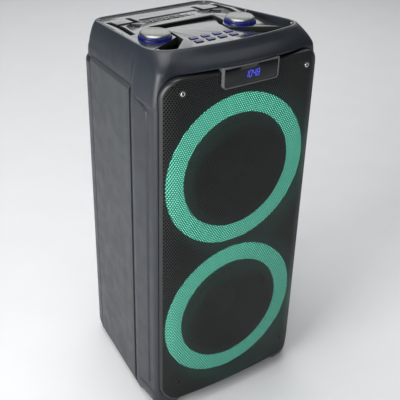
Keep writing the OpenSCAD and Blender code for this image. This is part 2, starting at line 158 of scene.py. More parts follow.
def bevel(obj, width, segments=3, limit=30, angle=35, crisp=None):
    """Rounds the edges of a piece that are sharper than the limit, apart from those crisp() picks."""
    with edited(obj.data) as work:
        weight = work.edges.layers.float.new("bevel_weight_edge")
        for edge in work.edges:
            if len(edge.link_faces) != 2 or edge.calc_face_angle(0) < math.radians(limit):
                continue
            middle = (edge.verts[0].co + edge.verts[1].co) / 2 / MM
            if crisp is None or not crisp(middle):
                edge[weight] = 1
    return modify(obj, "BEVEL", angle, width=width * MM, segments=segments, limit_method="WEIGHT",
                  use_clamp_overlap=False)


def cut(obj, cutter, angle=35):
    """Takes the cutter out of a piece and removes the cutter."""
    modify(obj, "BOOLEAN", angle, operation="DIFFERENCE", object=cutter, solver="EXACT")
    bpy.data.objects.remove(cutter)
    return obj


def clean(obj, distance=0.01, outward=True):
    """Joins vertices that meet and turns the faces outwards."""
    with edited(obj.data) as work:
        bmesh.ops.remove_doubles(work, verts=work.verts, dist=distance * MM)
        if outward:
            bmesh.ops.recalc_face_normals(work, faces=work.faces)
    return obj


def stand_for(obj, *nodes):
    """The piece rides with these CAD nodes' body and is shown in their place."""
    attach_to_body(obj, BODY[nodes[0]])
    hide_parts(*nodes)
    return obj


def go_with(obj, node):
    """The piece is an added detail that rides with a CAD node's body."""
    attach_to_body(obj, BODY[node])
    return obj


def grid_faces(rows, columns):
    """Quads over a grid of points stored row by row."""
    return [(r * columns + c, r * columns + c + 1, (r + 1) * columns + c + 1, (r + 1) * columns + c)
            for r in range(rows - 1) for c in range(columns - 1)]


def spin(name, profile, centre, material, axis="Z", steps=96, closed=True, angle=35):
    """Turns a profile of (radius, height) about an axis through centre; height runs along the axis."""
    count = len(profile)
    verts = []
    for k in range(steps):
        turn = 2 * math.pi * k / steps
        for radius, height in profile:
            across, up = radius * math.cos(turn), radius * math.sin(turn)
            offset = (across, up, height) if axis == "Z" else (across, height, -up)
            verts.append([centre[i] + offset[i] for i in range(3)])
    edges = count if closed else count - 1
    faces = [(k * count + i, k * count + (i + 1) % count,
              (k + 1) % steps * count + (i + 1) % count, (k + 1) % steps * count + i)
             for k in range(steps) for i in range(edges)]
    return clean(add_mesh(name, verts, faces, material, angle))


def plate(name, outline, low, high, material, axis="Z", edge=0.4, segments=2):
    """A solid plate between two heights along an axis, with rounded edges."""
    count = len(outline)
    verts = []
    for level in (low, high):
        for a, b in outline:
            verts.append((a, b, level) if axis == "Z" else (a, level, b))
    faces = [tuple(range(count)), tuple(range(count, 2 * count))]
    faces += [(i, (i + 1) % count, count + (i + 1) % count, count + i) for i in range(count)]
    obj = clean(add_mesh(name, verts, faces, material))
    return bevel(obj, edge, segments, limit=40) if edge else obj


def round_rect(width, height, radius, centre=(0, 0), steps=8):
    """Outline of a rectangle with round corners."""
    points = []
    for sx, sy, start in ((1, 1, 0), (-1, 1, 90), (-1, -1, 180), (1, -1, 270)):
        for k in range(steps + 1):
            turn = math.radians(start + 90 * k / steps)
            points.append((centre[0] + sx * (width / 2 - radius) + radius * math.cos(turn),
                           centre[1] + sy * (height / 2 - radius) + radius * math.sin(turn)))
    return points


def join(name, pieces, angle=35):
    """Puts several pieces into one mesh."""
    work = bmesh.new()
    for piece in pieces:
        work.from_mesh(piece.data)
    mesh = bpy.data.meshes.new(name)
    work.to_mesh(mesh)
    work.free()
    for material in pieces[0].data.materials:
        mesh.materials.append(material)
    for piece in pieces:
        bpy.data.objects.remove(piece)
    shade(mesh, angle)
    obj = bpy.data.objects.new(name, mesh)
    scene.collection.objects.link(obj)
    return obj


def refined(node, name, material, edge, segments=2, limit=35):
    """A copy of a CAD node's mesh with clean flat faces and rounded edges, shown in its place."""
    mesh = frame["nodes"][node].data.copy()
    mesh.materials.clear()
    mesh.materials.append(material)
    obj = bpy.data.objects.new(name, mesh)
    scene.collection.objects.link(obj)
    with edited(mesh) as work:
        bmesh.ops.remove_doubles(work, verts=work.verts, dist=0.002 * MM)
        bmesh.ops.dissolve_limit(work, angle_limit=math.radians(0.6), verts=work.verts, edges=work.edges)
    bevel(obj, edge, segments, limit)
    return stand_for(obj, node)


# ---- materials ----------------------------------------------------------------------------------

class Shader:
    """A node material with a Principled shader and short calls for the nodes used here."""

    def __init__(self, name, colour, roughness, metallic=0.0, ior=1.5, coat=0.0, coat_roughness=0.1):
        self.material = bpy.data.materials.new(name)
        self.material.use_nodes = True
        self.tree = self.material.node_tree
        self.main = self.tree.nodes["Principled BSDF"]
        self.colour = colour
        self.set("Base Color", (*colour, 1))
        self.set("Roughness", roughness)
        self.set("Metallic", metallic)
        self.set("IOR", ior)
        self.set("Coat Weight", coat)
        self.set("Coat Roughness", coat_roughness)
        self.where = self.node("ShaderNodeTexCoord").outputs["Object"]

    def node(self, kind, **settings):
        made = self.tree.nodes.new(kind)
        for key, value in settings.items():
            setattr(made, key, value)
        return made

    def link(self, source, target):
        self.tree.links.new(source, target)

    def set(self, socket, value):
        self.main.inputs[socket].default_value = value

    def from_centre(self, centre):
        """Object coordinates measured from a point in metres."""
        shift = self.node("ShaderNodeVectorMath", operation="SUBTRACT")
        shift.inputs[1].default_value = centre
        self.link(self.where, shift.inputs[0])
        return shift.outputs["Vector"]

    def colour_by(self, fac, low, high):
        """Sets the base colour between two multiples of the material's colour."""
        mixed = self.blend(fac, *(tuple(c * share for c in self.colour) for share in (low, high)))
        self.link(mixed, self.main.inputs["Base Color"])

    def stretched(self, scale):
        """Object coordinates stretched by a scale along each axis."""
        mapping = self.node("ShaderNodeMapping")
        mapping.inputs["Scale"].default_value = scale
        self.link(self.where, mapping.inputs["Vector"])
        return mapping.outputs["Vector"]

    def noise(self, scale, detail=2.0, where=None):
        made = self.node("ShaderNodeTexNoise")
        made.inputs["Scale"].default_value = scale
        made.inputs["Detail"].default_value = detail
        self.link(where or self.where, made.inputs["Vector"])
        return made.outputs["Fac"]

    def spread(self, fac, low, high, start=0.3, end=0.7):
        """Maps a value from start..end to low..high."""
        made = self.node("ShaderNodeMapRange")
        for key, value in zip(("From Min", "From Max", "To Min", "To Max"), (start, end, low, high)):
            made.inputs[key].default_value = value
        self.link(fac, made.inputs["Value"])
        return made.outputs["Result"]

    def blend(self, fac, first, second):
        """Mixes two colours by a value."""
        made = self.node("ShaderNodeMix", data_type="RGBA")
        self.link(fac, made.inputs["Factor"])
        for socket, value in (("A", first), ("B", second)):
            target = [s for s in made.inputs if s.name == socket and s.type == "RGBA"][0]
            if hasattr(value, "links"):
                self.link(value, target)
            else:
                target.default_value = (*value, 1)
        return [s for s in made.outputs if s.type == "RGBA"][0]

    def vary_colour(self, scale, amount, detail=3.0, where=None):
        """Lets the base colour drift lighter and darker."""
        self.colour_by(self.spread(self.noise(scale, detail, where), 0, 1), 1 - amount, 1 + amount)

    def vary_roughness(self, scale, low, high, where=None):
        self.link(self.spread(self.noise(scale, 3.0, where), low, high), self.main.inputs["Roughness"])

    def bump(self, height, strength, distance):
        made = self.node("ShaderNodeBump")
        made.inputs["Strength"].default_value = strength
        made.inputs["Distance"].default_value = distance * MM
        self.link(height, made.inputs["Height"])
        self.link(made.outputs["Normal"], self.main.inputs["Normal"])

    def glow(self, colour, strength):
        self.set("Emission Color", (*colour, 1))
        self.set("Emission Strength", strength)


def moulded(name, colour, roughness, grain=2600, depth=0.05, drift=0.12, **shader):
    """Moulded plastic: fine spark-eroded grain, patchy gloss and a slight drift of colour."""
    made = Shader(name, colour, roughness, **shader)
    made.vary_colour(9, drift)
    made.vary_roughness(38, roughness * 0.86, roughness * 1.16)
    made.bump(made.noise(grain, 2.0), 0.35, depth)
    return made.material


def spun_metal(name, colour, roughness, centre):
    """Turned metal: fine rings about a vertical axis through centre, which is in metres."""
    made = Shader(name, colour, roughness, metallic=1.0)
    rings = made.node("ShaderNodeTexWave", wave_type="RINGS", rings_direction="Z")
    rings.inputs["Scale"].default_value = 420
    rings.inputs["Distortion"].default_value = 0.3
    made.link(made.from_centre(centre), rings.inputs["Vector"])
    made.colour_by(rings.outputs["Fac"], 0.78, 1)
    made.bump(rings.outputs["Fac"], 0.1, 0.01)
    made.vary_roughness(160, roughness * 0.9, roughness * 1.15)
    return made.material


def brushed(name, colour, roughness, along=(900, 60, 900)):
    """Brushed or plated metal with fine lines."""
    made = Shader(name, colour, roughness, metallic=1.0)
    lines = made.noise(1.0, 4.0, made.stretched(along))
    made.colour_by(made.spread(lines, 0, 1), 0.7, 1)
    made.bump(lines, 0.2, 0.03)
    return made.material


def lit_ring(name, colour, strength, centre):
    """Milky lens lit by a row of lamps behind it: brighter at each lamp."""
    made = Shader(name, (0.35, 0.7, 0.6), 0.35)
    split = made.node("ShaderNodeSeparateXYZ")
    made.link(made.from_centre(centre), split.inputs["Vector"])
    turn = made.node("ShaderNodeMath", operation="ARCTAN2")
    made.link(split.outputs["Z"], turn.inputs[0])
    made.link(split.outputs["X"], turn.inputs[1])
    lamps = made.node("ShaderNodeMath", operation="MULTIPLY")
    lamps.inputs[1].default_value = 36
    made.link(turn.outputs["Value"], lamps.inputs[0])
    wave = made.node("ShaderNodeMath", operation="COSINE")
    made.link(lamps.outputs["Value"], wave.inputs[0])
    glow = made.spread(wave.outputs["Value"], 0, 1, -1, 1)
    mixed = made.blend(glow, tuple(c * 0.86 for c in colour), colour)
    made.link(mixed, made.main.inputs["Emission Color"])
    made.set("Emission Strength", strength)
    made.vary_roughness(60, 0.25, 0.45)
    made.bump(made.noise(900, 2.0), 0.2, 0.04)
    return made.material


def glowing(name, base, colour, strength, roughness=0.25):
    """Clear plastic lit from behind."""
    made = Shader(name, base, roughness)
    made.vary_colour(140, 0.2)
    made.glow(colour, strength)
    made.bump(made.noise(1200, 2.0), 0.15, 0.02)
    return made.material


def paper(name, colour):
    """Pressed paper pulp with short fibres."""
    made = Shader(name, colour, 0.8)
    fibres = made.noise(1.0, 6.0, made.stretched((420, 420, 1500)))
    made.colour_by(made.spread(fibres, 0, 1), 0.6, 1.5)
    made.bump(fibres, 0.5, 0.12)
    return made.material


M = {
    "shell": moulded("shell_plastic", (0.016, 0.020, 0.027), 0.40),
    "side": moulded("side_plastic", (0.036, 0.040, 0.045), 0.5, grain=1900, depth=0.07),
    "baffle": moulded("baffle_board", (0.008, 0.008, 0.009), 0.7),
    "grille": moulded("grille_paint", (0.014, 0.015, 0.015), 0.33, grain=3000, depth=0.03, drift=0.2),
    "screw": brushed("screw_zinc", (0.75, 0.75, 0.74), 0.3),
    "dark_screw": brushed("screw_black", (0.05, 0.05, 0.05), 0.4),
    # painted highlight: light grey for the strip that shows the bright line along the rim's lip
    "painted_highlight": moulded("painted_rim_highlight", (0.16, 0.17, 0.175), 0.22, depth=0.01),
    "bezel": moulded("bezel_grey", (0.10, 0.105, 0.11), 0.3, depth=0.02),
    "window": moulded("smoked_window", (0.002, 0.002, 0.005), 0.08, depth=0.004, drift=0.3),
    "display": glowing("lit_segment", (0.03, 0.04, 0.3), (0.09, 0.11, 1.0), 0.75),
    "unlit": glowing("unlit_segment", (0.006, 0.006, 0.016), (0.02, 0.02, 0.2), 0.12),
    "board": moulded("circuit_board", (0.01, 0.08, 0.05), 0.45),
    "driver_frame": moulded("driver_frame", (0.02, 0.02, 0.02), 0.4),
    "magnet": moulded("ferrite", (0.05, 0.05, 0.05), 0.75, grain=1400, depth=0.15),
    "surround": moulded("surround_rubber", (0.014, 0.011, 0.010), 0.62, grain=1600, depth=0.08),
    "cone": paper("cone_paper", (0.020, 0.015, 0.012)),
    "deck": moulded("deck_gloss", (0.030, 0.034, 0.032), 0.2, depth=0.008, coat=0.6),
    "tray": moulded("tray_gloss", (0.006, 0.006, 0.007), 0.2, depth=0.02),
    "button": moulded("keycap", (0.012, 0.014, 0.03), 0.3, depth=0.02),
    "legend": glowing("lit_legend", (0.05, 0.08, 0.4), (0.10, 0.13, 1.0), 0.35),
    "knob_light": glowing("knob_light", (0.004, 0.006, 0.07), (0.005, 0.008, 0.3), 0.03),
    "knob_edge": glowing("knob_light_edge", (0.05, 0.08, 0.6), (0.05, 0.06, 0.8), 0.35),
    "shaft": brushed("shaft_steel", (0.55, 0.55, 0.54), 0.3),
    "socket": moulded("socket_plastic", (0.012, 0.012, 0.012), 0.35),
    "usb": brushed("usb_nickel", (0.5, 0.5, 0.5), 0.32),
    "nut": brushed("socket_nut", (0.35, 0.35, 0.34), 0.28),
    "amp": moulded("anodised_plate", (0.02, 0.02, 0.021), 0.42, grain=1200, depth=0.06, metallic=0.6),
    "switch": moulded("rocker_red", (0.28, 0.012, 0.01), 0.3, depth=0.02),
    "foot": moulded("foot_rubber", (0.012, 0.012, 0.012), 0.8, grain=900, depth=0.2),
    "floor": moulded("studio_floor", (0.9, 0.9, 0.9), 0.85, grain=300, depth=0.05, drift=0.01),
}


# ---- camera, floor and light ----------------------------------------------------------------------

def make_camera():
    """A 36 mm wide frame seen from the left and above, turned slightly about its own axis."""
    azimuth, elevation, roll = (math.radians(a) for a in (-34.10, 31.26, 1.67))
    back = Vector((math.sin(azimuth) * math.cos(elevation),
                   -math.cos(azimuth) * math.cos(elevation), math.sin(elevation)))
    side = (-back).cross(Vector((0, 0, 1))).normalized()
    top = side.cross(-back)
    x_axis = side * math.cos(roll) + top * math.sin(roll)
    y_axis = -side * math.sin(roll) + top * math.cos(roll)
    camera = bpy.data.objects.new("camera", bpy.data.cameras.new("camera"))
    camera.data.lens = 70.24
    camera.data.sensor_width = 36
    camera.data.clip_start = 0.05
    camera.matrix_world = Matrix.Translation((-0.6700, -1.0214, 1.0801)) @ Matrix(
        (x_axis, y_axis, back)).transposed().to_4x4()
    scene.collection.objects.link(camera)
    scene.camera = camera


def soft_light(name, place, target, width, height, power, colour=(1, 1, 1)):
    """A rectangular softbox that faces its target."""
    light = bpy.data.lights.new(name, "AREA")
    light.shape = "RECTANGLE"
    light.size, light.size_y = width, height
    light.energy = power
    light.color = colour
    obj = bpy.data.objects.new(name, light)
    obj.location = place
    obj.rotation_euler = (Vector(target) - Vector(place)).to_track_quat("-Z", "Y").to_euler()
    obj.visible_camera = False
    scene.collection.objects.link(obj)


def make_studio():
    """Pale floor, a white background and soft boxes at the left, above, behind and in front."""
    bpy.ops.mesh.primitive_grid_add(x_subdivisions=8, y_subdivisions=8, size=8)
    floor = bpy.context.object
    floor.name = "floor"
    floor.data.materials.append(M["floor"])
    world = bpy.data.worlds.new("studio")
    world.use_nodes = True
    scene.world = world
    tree = world.node_tree
    for node in list(tree.nodes):
        tree.nodes.remove(node)
    output = tree.nodes.new("ShaderNodeOutputWorld")
    path = tree.nodes.new("ShaderNodeLightPath")
    seen, lit = (tree.nodes.new("ShaderNodeBackground") for _ in range(2))
    seen.inputs["Color"].default_value = (1, 1, 1, 1)
    lit.inputs["Color"].default_value = (0.8, 0.9, 1.0, 1)
    lit.inputs["Strength"].default_value = 0.13
    mix = tree.nodes.new("ShaderNodeMixShader")
    tree.links.new(path.outputs["Is Camera Ray"], mix.inputs[0])
    tree.links.new(lit.outputs[0], mix.inputs[1])
    tree.links.new(seen.outputs[0], mix.inputs[2])
    tree.links.new(mix.outputs[0], output.inputs["Surface"])
    middle = (0, 0, 0.35)
    soft_light("left_box", (-2.5, -0.55, 0.9), middle, 1.5, 2.4, 88)
    soft_light("back_box", (1.35, 2.0, 2.0), (0, 0, 0.66), 2.8, 2.0, 24)
    soft_light("top_box", (-0.3, 0.2, 2.8), (0, 0, 0.5), 1.6, 1.6, 34)
    soft_light("front_box", (1.6, -2.6, 0.9), middle, 0.8, 1.8, 4)
    soft_light("corner_box", (-1.9, -2.2, 1.9), (0, -0.1, 0.5), 0.6, 0.9, 9)
    scene.view_settings.view_transform = "Standard"


# ---- outlines of the cabinet ------------------------------------------------------------------------

def section_value(level, column):
    """One column of SHELL at a level, joined by a smooth monotone curve."""
    x, y = SHELL[:, 0], SHELL[:, column]
    steps = np.diff(y) / np.diff(x)
    slopes = np.concatenate([[steps[0]], (steps[1:] + steps[:-1]) / 2, [steps[-1]]])
    flat = np.concatenate([[False], steps[1:] * steps[:-1] <= 0, [False]])
    slopes[flat] = 0
    level = np.clip(level, x[0], x[-1])
    k = np.clip(np.searchsorted(x, level, side="right") - 1, 0, len(x) - 2)
    width = x[k + 1] - x[k]
    t = (level - x[k]) / width
    return ((2 * t ** 3 - 3 * t ** 2 + 1) * y[k] + (t ** 3 - 2 * t ** 2 + t) * width * slopes[k]
            + (-2 * t ** 3 + 3 * t ** 2) * y[k + 1] + (t ** 3 - t ** 2) * width * slopes[k + 1])


def side_x(y):
    """Half the cabinet's width at a depth."""
    return BODY_W / 2 - SIDE_TAPER * np.maximum(0, y - WIDE_Y)


def outline_point(q, inset, ahead, corner):
    """Right half of the hull's outline: q is 0-1 front, 1-2 corner, 2-3 side, 3-4 back corner, 4-5 back."""
    q = np.asarray(q, float)
    w = BODY_W / 2 - inset
    bulge = 12 + (12 - ahead) * 0.37
    run = w - corner
    y0 = BAFFLE_Y - ahead
    bend_y = y0 + bulge * (run / w) ** 2
    side_start = bend_y + corner
    arc_y = REAR_Y - BACK_R
    back_r = BACK_R - inset
    side_end = side_x(arc_y) - inset
    x_front = run * q
    turn = np.radians(-78 + 78 * (q - 1))
    y_side = side_start + (arc_y - side_start) * (q - 2)
    back_turn = np.radians(90 * (q - 3))
    x = np.select(
        [q <= 1, q <= 2, q <= 3, q <= 4],
        [x_front, run + corner * np.cos(turn), side_x(y_side) - inset,
         side_end - back_r + back_r * np.cos(back_turn)],
        (side_end - back_r) * (5 - q))
    y = np.select(
        [q <= 1, q <= 2, q <= 3, q <= 4],
        [y0 + bulge * (x_front / w) ** 2, side_start + corner * np.sin(turn), y_side,
         arc_y + back_r * np.sin(back_turn)],
        REAR_Y - inset)
    return x, y


def shell_point(q, level, extra=0.0):
    """Point of the top shell's outer face, moved in by extra."""
    inset = section_value(level, 2) + extra
    ahead = section_value(level, 3) - extra
    corner = section_value(level, 4) - extra / 2
    x, y = outline_point(q, inset, ahead, corner)
    return x, y, level - section_value(level, 1) * (y - RIM_Y)


def shell_at_height(q, z, extra=0.0):
    """The same at a true height z."""
    q = np.asarray(q, float)
    level = np.full(q.shape, float(z))
    for _ in range(6):
        _, y, _ = shell_point(q, level)
        level = z + section_value(level, 1) * (y - RIM_Y)
    x, y, _ = shell_point(q, level, extra)
    return x, y


def bottom_inset(z):
    """How far the walls draw in at the rounded lower edge."""
    height = 22
    drop = np.clip((FOOT_H + height - z) / height, 0, 1)
    return 9 * (1 - np.sqrt(np.maximum(0, 1 - drop ** 2)))


# ---- cabinet shells --------------------------------------------------------------------------------

LEDGE_H = 7
LEDGE_IN = 3.4


def panel_top(y):
    """Height of a side panel's sloping upper edge."""
    return SEAM_Z + 16 - 14 * (y - STRIP_Y) / 217


def wall_rows(start, top):
    """Heights of the rows of a wall: close together at the rounded foot and at the chamfered top."""
    foot = start + (FOOT_H + 22 - start) * (1 - np.cos(np.linspace(0.45, np.pi / 2, 7)))
    return np.concatenate([[start], foot, np.linspace(60, top - LEDGE_H - 30, 9),
                           [top - LEDGE_H - 1.2, top - LEDGE_H, top - LEDGE_H + 1.2, top]])


def ledge_inset(z, top):
    """The chamfer that leads a wall's upper edge in to the shell above."""
    return LEDGE_IN * np.clip((z - (top - LEDGE_H)) / LEDGE_H, 0, 1)


def make_side_panel(side, node):
    """A plate on the cabinet's side, with a chamfered sloping top and a rounded foot."""
    start, end = STRIP_Y + GAP, COVER_Y - GAP
    depths = np.linspace(start, end, 14)
    columns = []
    for y in depths:
        top = panel_top(y)
        z = wall_rows(FOOT_H + 3, top)
        x = side_x(y) - bottom_inset(z) - ledge_inset(z, top)
        columns.append(np.column_stack([side * x, np.full(len(z), y), z]))
    verts = np.concatenate(columns)
    obj = add_mesh(node + "_skin", verts, grid_faces(len(depths), len(columns[0])), M["side"])
    if side > 0:
        obj.data.flip_normals()
    modify(obj, "SOLIDIFY", thickness=3.1 * MM, offset=-1)
    bevel(obj, 0.7, 3, limit=50, crisp=lambda at: at.z < FOOT_H + 8)
    return stand_for(obj, node)


def make_rear_cover():
    """The back wall with its wrapped corners, cut out for the amplifier, the port and the vents."""
    q = np.concatenate([[2.985], np.linspace(3, 4, 13), np.linspace(4, 5, 8)[1:]])
    z = wall_rows(FOOT_H, SEAM_Z - 1)
    rows = []
    for level in z:
        inset = float(bottom_inset(level) + ledge_inset(level, SEAM_Z - 1))
        x, y = outline_point(q, inset, 12, 14)
        y[0] = COVER_Y + GAP
        x[0] = side_x(y[0]) - inset
        half = np.column_stack([x, y, np.full(len(x), level)])
        other = half[-2::-1] * (-1, 1, 1)
        rows.append(np.concatenate([half, other]))
    verts = np.concatenate(rows)
    obj = add_mesh("rear_cover_skin", verts, grid_faces(len(rows), len(rows[0])), M["shell"])
    modify(obj, "SOLIDIFY", thickness=3.4 * MM, offset=-1)
    amp_low, amp_high = box_mm("amp_plate")
    amp_size = amp_high - amp_low
    amp_mid = middle_of("amp_plate")
    port_mid = middle_of("reflex_port")
    port_r = radius_of("reflex_port")
    port_cut = 2 * port_r + 7
    outlines = [round_rect(amp_size.x + 0.6, amp_size.z + 0.6, 10.3, (amp_mid.x, amp_mid.z)),
                round_rect(port_cut, port_cut, port_r + 3.4, (port_mid.x, port_mid.z), 16)]
    vent_low, vent_step = 312, 14
    outlines += [round_rect(120, 4, 1.9, (0, vent_low + vent_step * i)) for i in range(6)]
    cutters = [plate(f"cut_{i}", outline, REAR_Y - 12, REAR_Y + 4, M["shell"], "Y", edge=0)
               for i, outline in enumerate(outlines)]
    cut(obj, join("cutters", cutters))
    bevel(obj, 0.5, 2, limit=50)
    return stand_for(obj, "rear_cover")


def frame_row(z, opening_x, columns):
    """One row of the front frame's face at height z, from the opening's edge to the strip by the panel."""
    q = np.concatenate([np.linspace(0, 1, 60)[:-1], np.linspace(1, 2, 40)[:-1], np.linspace(2, 2.75, 240)])
    blend = np.clip((z - 588) / (OPENING_HIGH - 588), 0, 1) ** 2
    x_low, y_low = outline_point(q, float(bottom_inset(z)), 12, 14)
    x_high, y_high = shell_at_height(q, OPENING_HIGH)
    x = x_low + (x_high - x_low) * blend
    y = y_low + (y_high - y_low) * blend
    depth = y - BAFFLE_Y
    upright = 1 - blend
    fade = np.clip((604 - z) / 14, 0, 1) * np.clip((z - 40) / 14, 0, 1)
    step_at = 24 + 34 * (1 - fade) ** 2
    front_zone = np.exp(-np.maximum(depth, 0) / 9)
    recess = 1.9 * (1 - front_zone) * np.clip((step_at - depth) / 1.8 + 0.5, 0, 1) * (fade > 0)
    recess = np.where(depth > step_at + 1, 0, recess) + 0.9 * np.clip(1 - depth / 64, 0, 1) * upright
    roll = 2.6 * np.clip((depth - 60) / 18, 0, 1) ** 2 * upright
    x = x - np.where(q > 1.2, recess + roll, 0)
    keep = (x >= opening_x - 1e-6) & (y <= STRIP_Y) | (q > 2) & (y <= STRIP_Y)
    path = np.column_stack([x, y])[keep]
    if opening_x > 0:
        y_start = np.interp(opening_x, x[q <= 1.9], y[q <= 1.9])
        path = np.vstack([[opening_x, y_start], path])
    last_x = np.interp(STRIP_Y, y[q > 2], x[q > 2])
    path = np.vstack([path, [last_x, STRIP_Y]])
    along = np.concatenate([[0], np.cumsum(np.hypot(*np.diff(path, axis=0).T))])
    step_along = np.interp(BAFFLE_Y + step_at, path[:, 1], along)
    marks = np.concatenate([np.linspace(0, step_along - 1.8, columns[0]),
                            np.linspace(step_along - 1.2, step_along + 1.2, columns[1]),
                            np.linspace(step_along + 1.8, along[-1], columns[2])])
    return np.column_stack([np.interp(marks, along, path[:, 0]), np.interp(marks, along, path[:, 1]),
                            np.full(len(marks), z)])


def make_front_frame():
    """The moulded frame round the grille: lip, side strips with a raised band, and the bar below."""
    columns = (16, 5, 14)
    turns = np.radians(np.linspace(90, 0, 15))
    top_z = OPENING_HIGH - OPENING_R + OPENING_R * np.sin(turns)
    top_x = OPENING_W - OPENING_R + OPENING_R * np.cos(turns)
    low_z = OPENING_LOW + OPENING_R - OPENING_R * np.sin(turns[::-1])
    straight = np.concatenate([[617, 612, 608, 605, 602, 599, 596, 592, 588], np.linspace(575, 70, 18)])
    rows = [(z, x) for z, x in zip(top_z, top_x)]
    rows += [(z, OPENING_W) for z in straight]
    rows += [(z, x) for z, x in zip(low_z, top_x[::-1])]
    grid = np.array([frame_row(z, x, columns) for z, x in rows])
    count = grid.shape[1]
    side_verts = grid.reshape(-1, 3)
    faces = grid_faces(len(rows), count)
    bar_z = np.concatenate([[OPENING_LOW], np.linspace(OPENING_LOW - 3, FOOT_H + 13, 5),
                            FOOT_H + 13 * (1 - np.sin(np.linspace(0, np.pi / 2, 7)[1:]))])
    bar = []
    for z in bar_z:
        row = frame_row(z, OPENING_W - OPENING_R, columns)
        inner = np.linspace(0, row[0][0], 9)[:-1]
        y = BAFFLE_Y - 12 + bottom_inset(z) + 12 * (inner / (BODY_W / 2)) ** 2
        bar.append(np.vstack([np.column_stack([inner, y, np.full(len(inner), z)]), row]))
    bar = np.array(bar)
    bar[0, 8:] = grid[-1]
    base = len(side_verts)
    verts = np.vstack([side_verts, bar.reshape(-1, 3)])
    faces += [tuple(base + i for i in face) for face in grid_faces(len(bar_z), bar.shape[1])]
    right = add_mesh("frame_right", verts, [face[::-1] for face in faces], M["shell"])
    left = add_mesh("frame_left", verts * (-1, 1, 1), faces, M["shell"])
    obj = clean(join("front_frame_skin", [right, left]), outward=False)
    add_opening_lip(obj)
    modify(obj, "SOLIDIFY", 40, thickness=2.0 * MM, offset=-1)
    bevel(obj, 0.9, 3, limit=48, angle=40, crisp=thin_rows)
    return stand_for(obj, "front_frame")


def thin_rows(at):
    """Where the frame's rows lie too close together for a rounded edge."""
    return at.z > OPENING_HIGH - 4 or at.z < OPENING_LOW + 12


def add_opening_lip(obj):
    """Folds the frame's edge in behind the grille, all along the opening."""
    with edited(obj.data) as work:
        edges = []
        for edge in work.edges:
            middle = (edge.verts[0].co + edge.verts[1].co) / 2 / MM
            inside = abs(middle.x) < OPENING_W + 0.5 and OPENING_LOW - 0.5 < middle.z < OPENING_HIGH + 0.5
            if edge.is_boundary and inside and middle.y < BAFFLE_Y + 4:
                edges.append(edge)
        made = bmesh.ops.extrude_edge_only(work, edges=edges)
        for item in made["geom"]:
            if isinstance(item, bmesh.types.BMVert):
                item.co.y = max(item.co.y, (BAFFLE_Y - 1) * MM) + 6 * MM


def make_top_shell():
    """The shell over the cabinet: outer wall, rounded rim with a double line, and the inner wall."""
    q = np.concatenate([np.linspace(0, 1, 22)[:-1], np.linspace(1, 2, 14)[:-1], np.linspace(2, 3, 26)[:-1],
                        np.linspace(3, 4, 13)[:-1], np.linspace(4, 5, 9)])
    levels = np.concatenate([np.linspace(SEAM_Z, 650, 11), np.linspace(654, RIM_Z - 1.2, 16)])
    rows = [shell_point(q, np.full(len(q), level)) for level in levels]
    rim = [(0.2, 0.7), (0.6, 0.3), (0.8, 0.3), (0.8, 1.2), (2.6, 1.2), (2.6, 0.3), (3.3, 0.3), (3.9, 0.5),
           (4.2, 1.1)]
    for extra, drop in rim:
        x, y, z = shell_point(q, np.full(len(q), RIM_Z), extra)
        rows.append((x, y, z - drop))
    x, y, z = shell_point(q, np.full(len(q), RIM_Z), 4.5)
    floor_z = np.minimum(650.5, z - 3)
    for share in (0.15, 0.5, 1.0):
        rows.append((x, y, z + (floor_z - z) * share))
    half = np.array([np.column_stack(row) for row in rows])
    other = half[:, -2:0:-1] * (-1, 1, 1)
    ring = np.concatenate([half, other, half[:, :1]], axis=1)
    verts = ring.reshape(-1, 3)
    obj = clean(add_mesh("top_shell_skin", verts, grid_faces(ring.shape[0], ring.shape[1]), M["shell"]),
                outward=False)
    notch_z, notch_y = (OPENING_HIGH + 0.06) * MM, (STRIP_Y + GAP) * MM
    with edited(obj.data) as work:
        for point, normal in (((0, 0, notch_z), (0, 0, 1)), ((0, notch_y, 0), (0, 1, 0))):
            bmesh.ops.bisect_plane(work, geom=work.verts[:] + work.edges[:] + work.faces[:],
                                   plane_co=point, plane_no=normal, dist=1e-7)
        doomed = []
        for face in work.faces:
            middle = face.calc_center_median()
            inner = abs(middle.x) < (BODY_W / 2 - 21.5) * MM and middle.y > (BAFFLE_Y + 9) * MM
            if middle.y < notch_y and middle.z < notch_z and not inner:
                doomed.append(face)
        bmesh.ops.delete(work, geom=doomed, context="FACES")
        for vert in work.verts:
            if vert.co.y < (RIM_Y + 1) * MM:
                vert.co = brow(vert.co / MM) * MM
    shade(obj.data)
    modify(obj, "SOLIDIFY", 40, thickness=1.3 * MM, offset=-1)
    bevel(obj, 0.45, 2, limit=55, angle=40, crisp=lambda at: at.y < STRIP_Y + 2 and at.z < OPENING_HIGH + 1)
    stand_for(obj, "top_shell")
    # light grey strip over the rim: a painted highlight
    make_painted_rim_highlight(q)


def brow(point):
    """Swells the band over the grille forwards to the display's front, and lifts its lower edge."""
    across = max(0, 1 - (point.x / 118) ** 2)
    forward = min(1, max(0, (679 - point.z) / 22))
    lift = min(1, max(0, (674 - point.z) / 20))
    ahead = (BAFFLE_Y - 12 - FRONT_Y - 0.8) * across * forward ** 2 * (3 - 2 * forward)
    return Vector((point.x, point.y - ahead, point.z + 6.2 * across * lift))


def make_painted_rim_highlight(q):
    """Thin light-grey strip let into the rim: a painted highlight along the rim's lip."""
    profile = [(0.95, 1.1), (0.95, 0.15), (1.15, 0.02), (2.25, 0.02), (2.45, 0.15), (2.45, 1.1)]
    rows = []
    for extra, drop in profile:
        x, y, z = shell_point(q, np.full(len(q), RIM_Z), extra)
        half = np.column_stack([x, y, z - drop])
        rows.append(np.concatenate([half, half[-2:0:-1] * (-1, 1, 1), half[:1]]))
    ring = np.array(rows)
    # the strip carries the painted highlight of the rim's lip
    painted_highlight = clean(add_mesh("painted_rim_highlight_strip", ring.reshape(-1, 3), grid_faces(*ring.shape[:2]), M["painted_highlight"], 60))
    go_with(painted_highlight, "top_shell")


# ---- grille ----------------------------------------------------------------------------------------

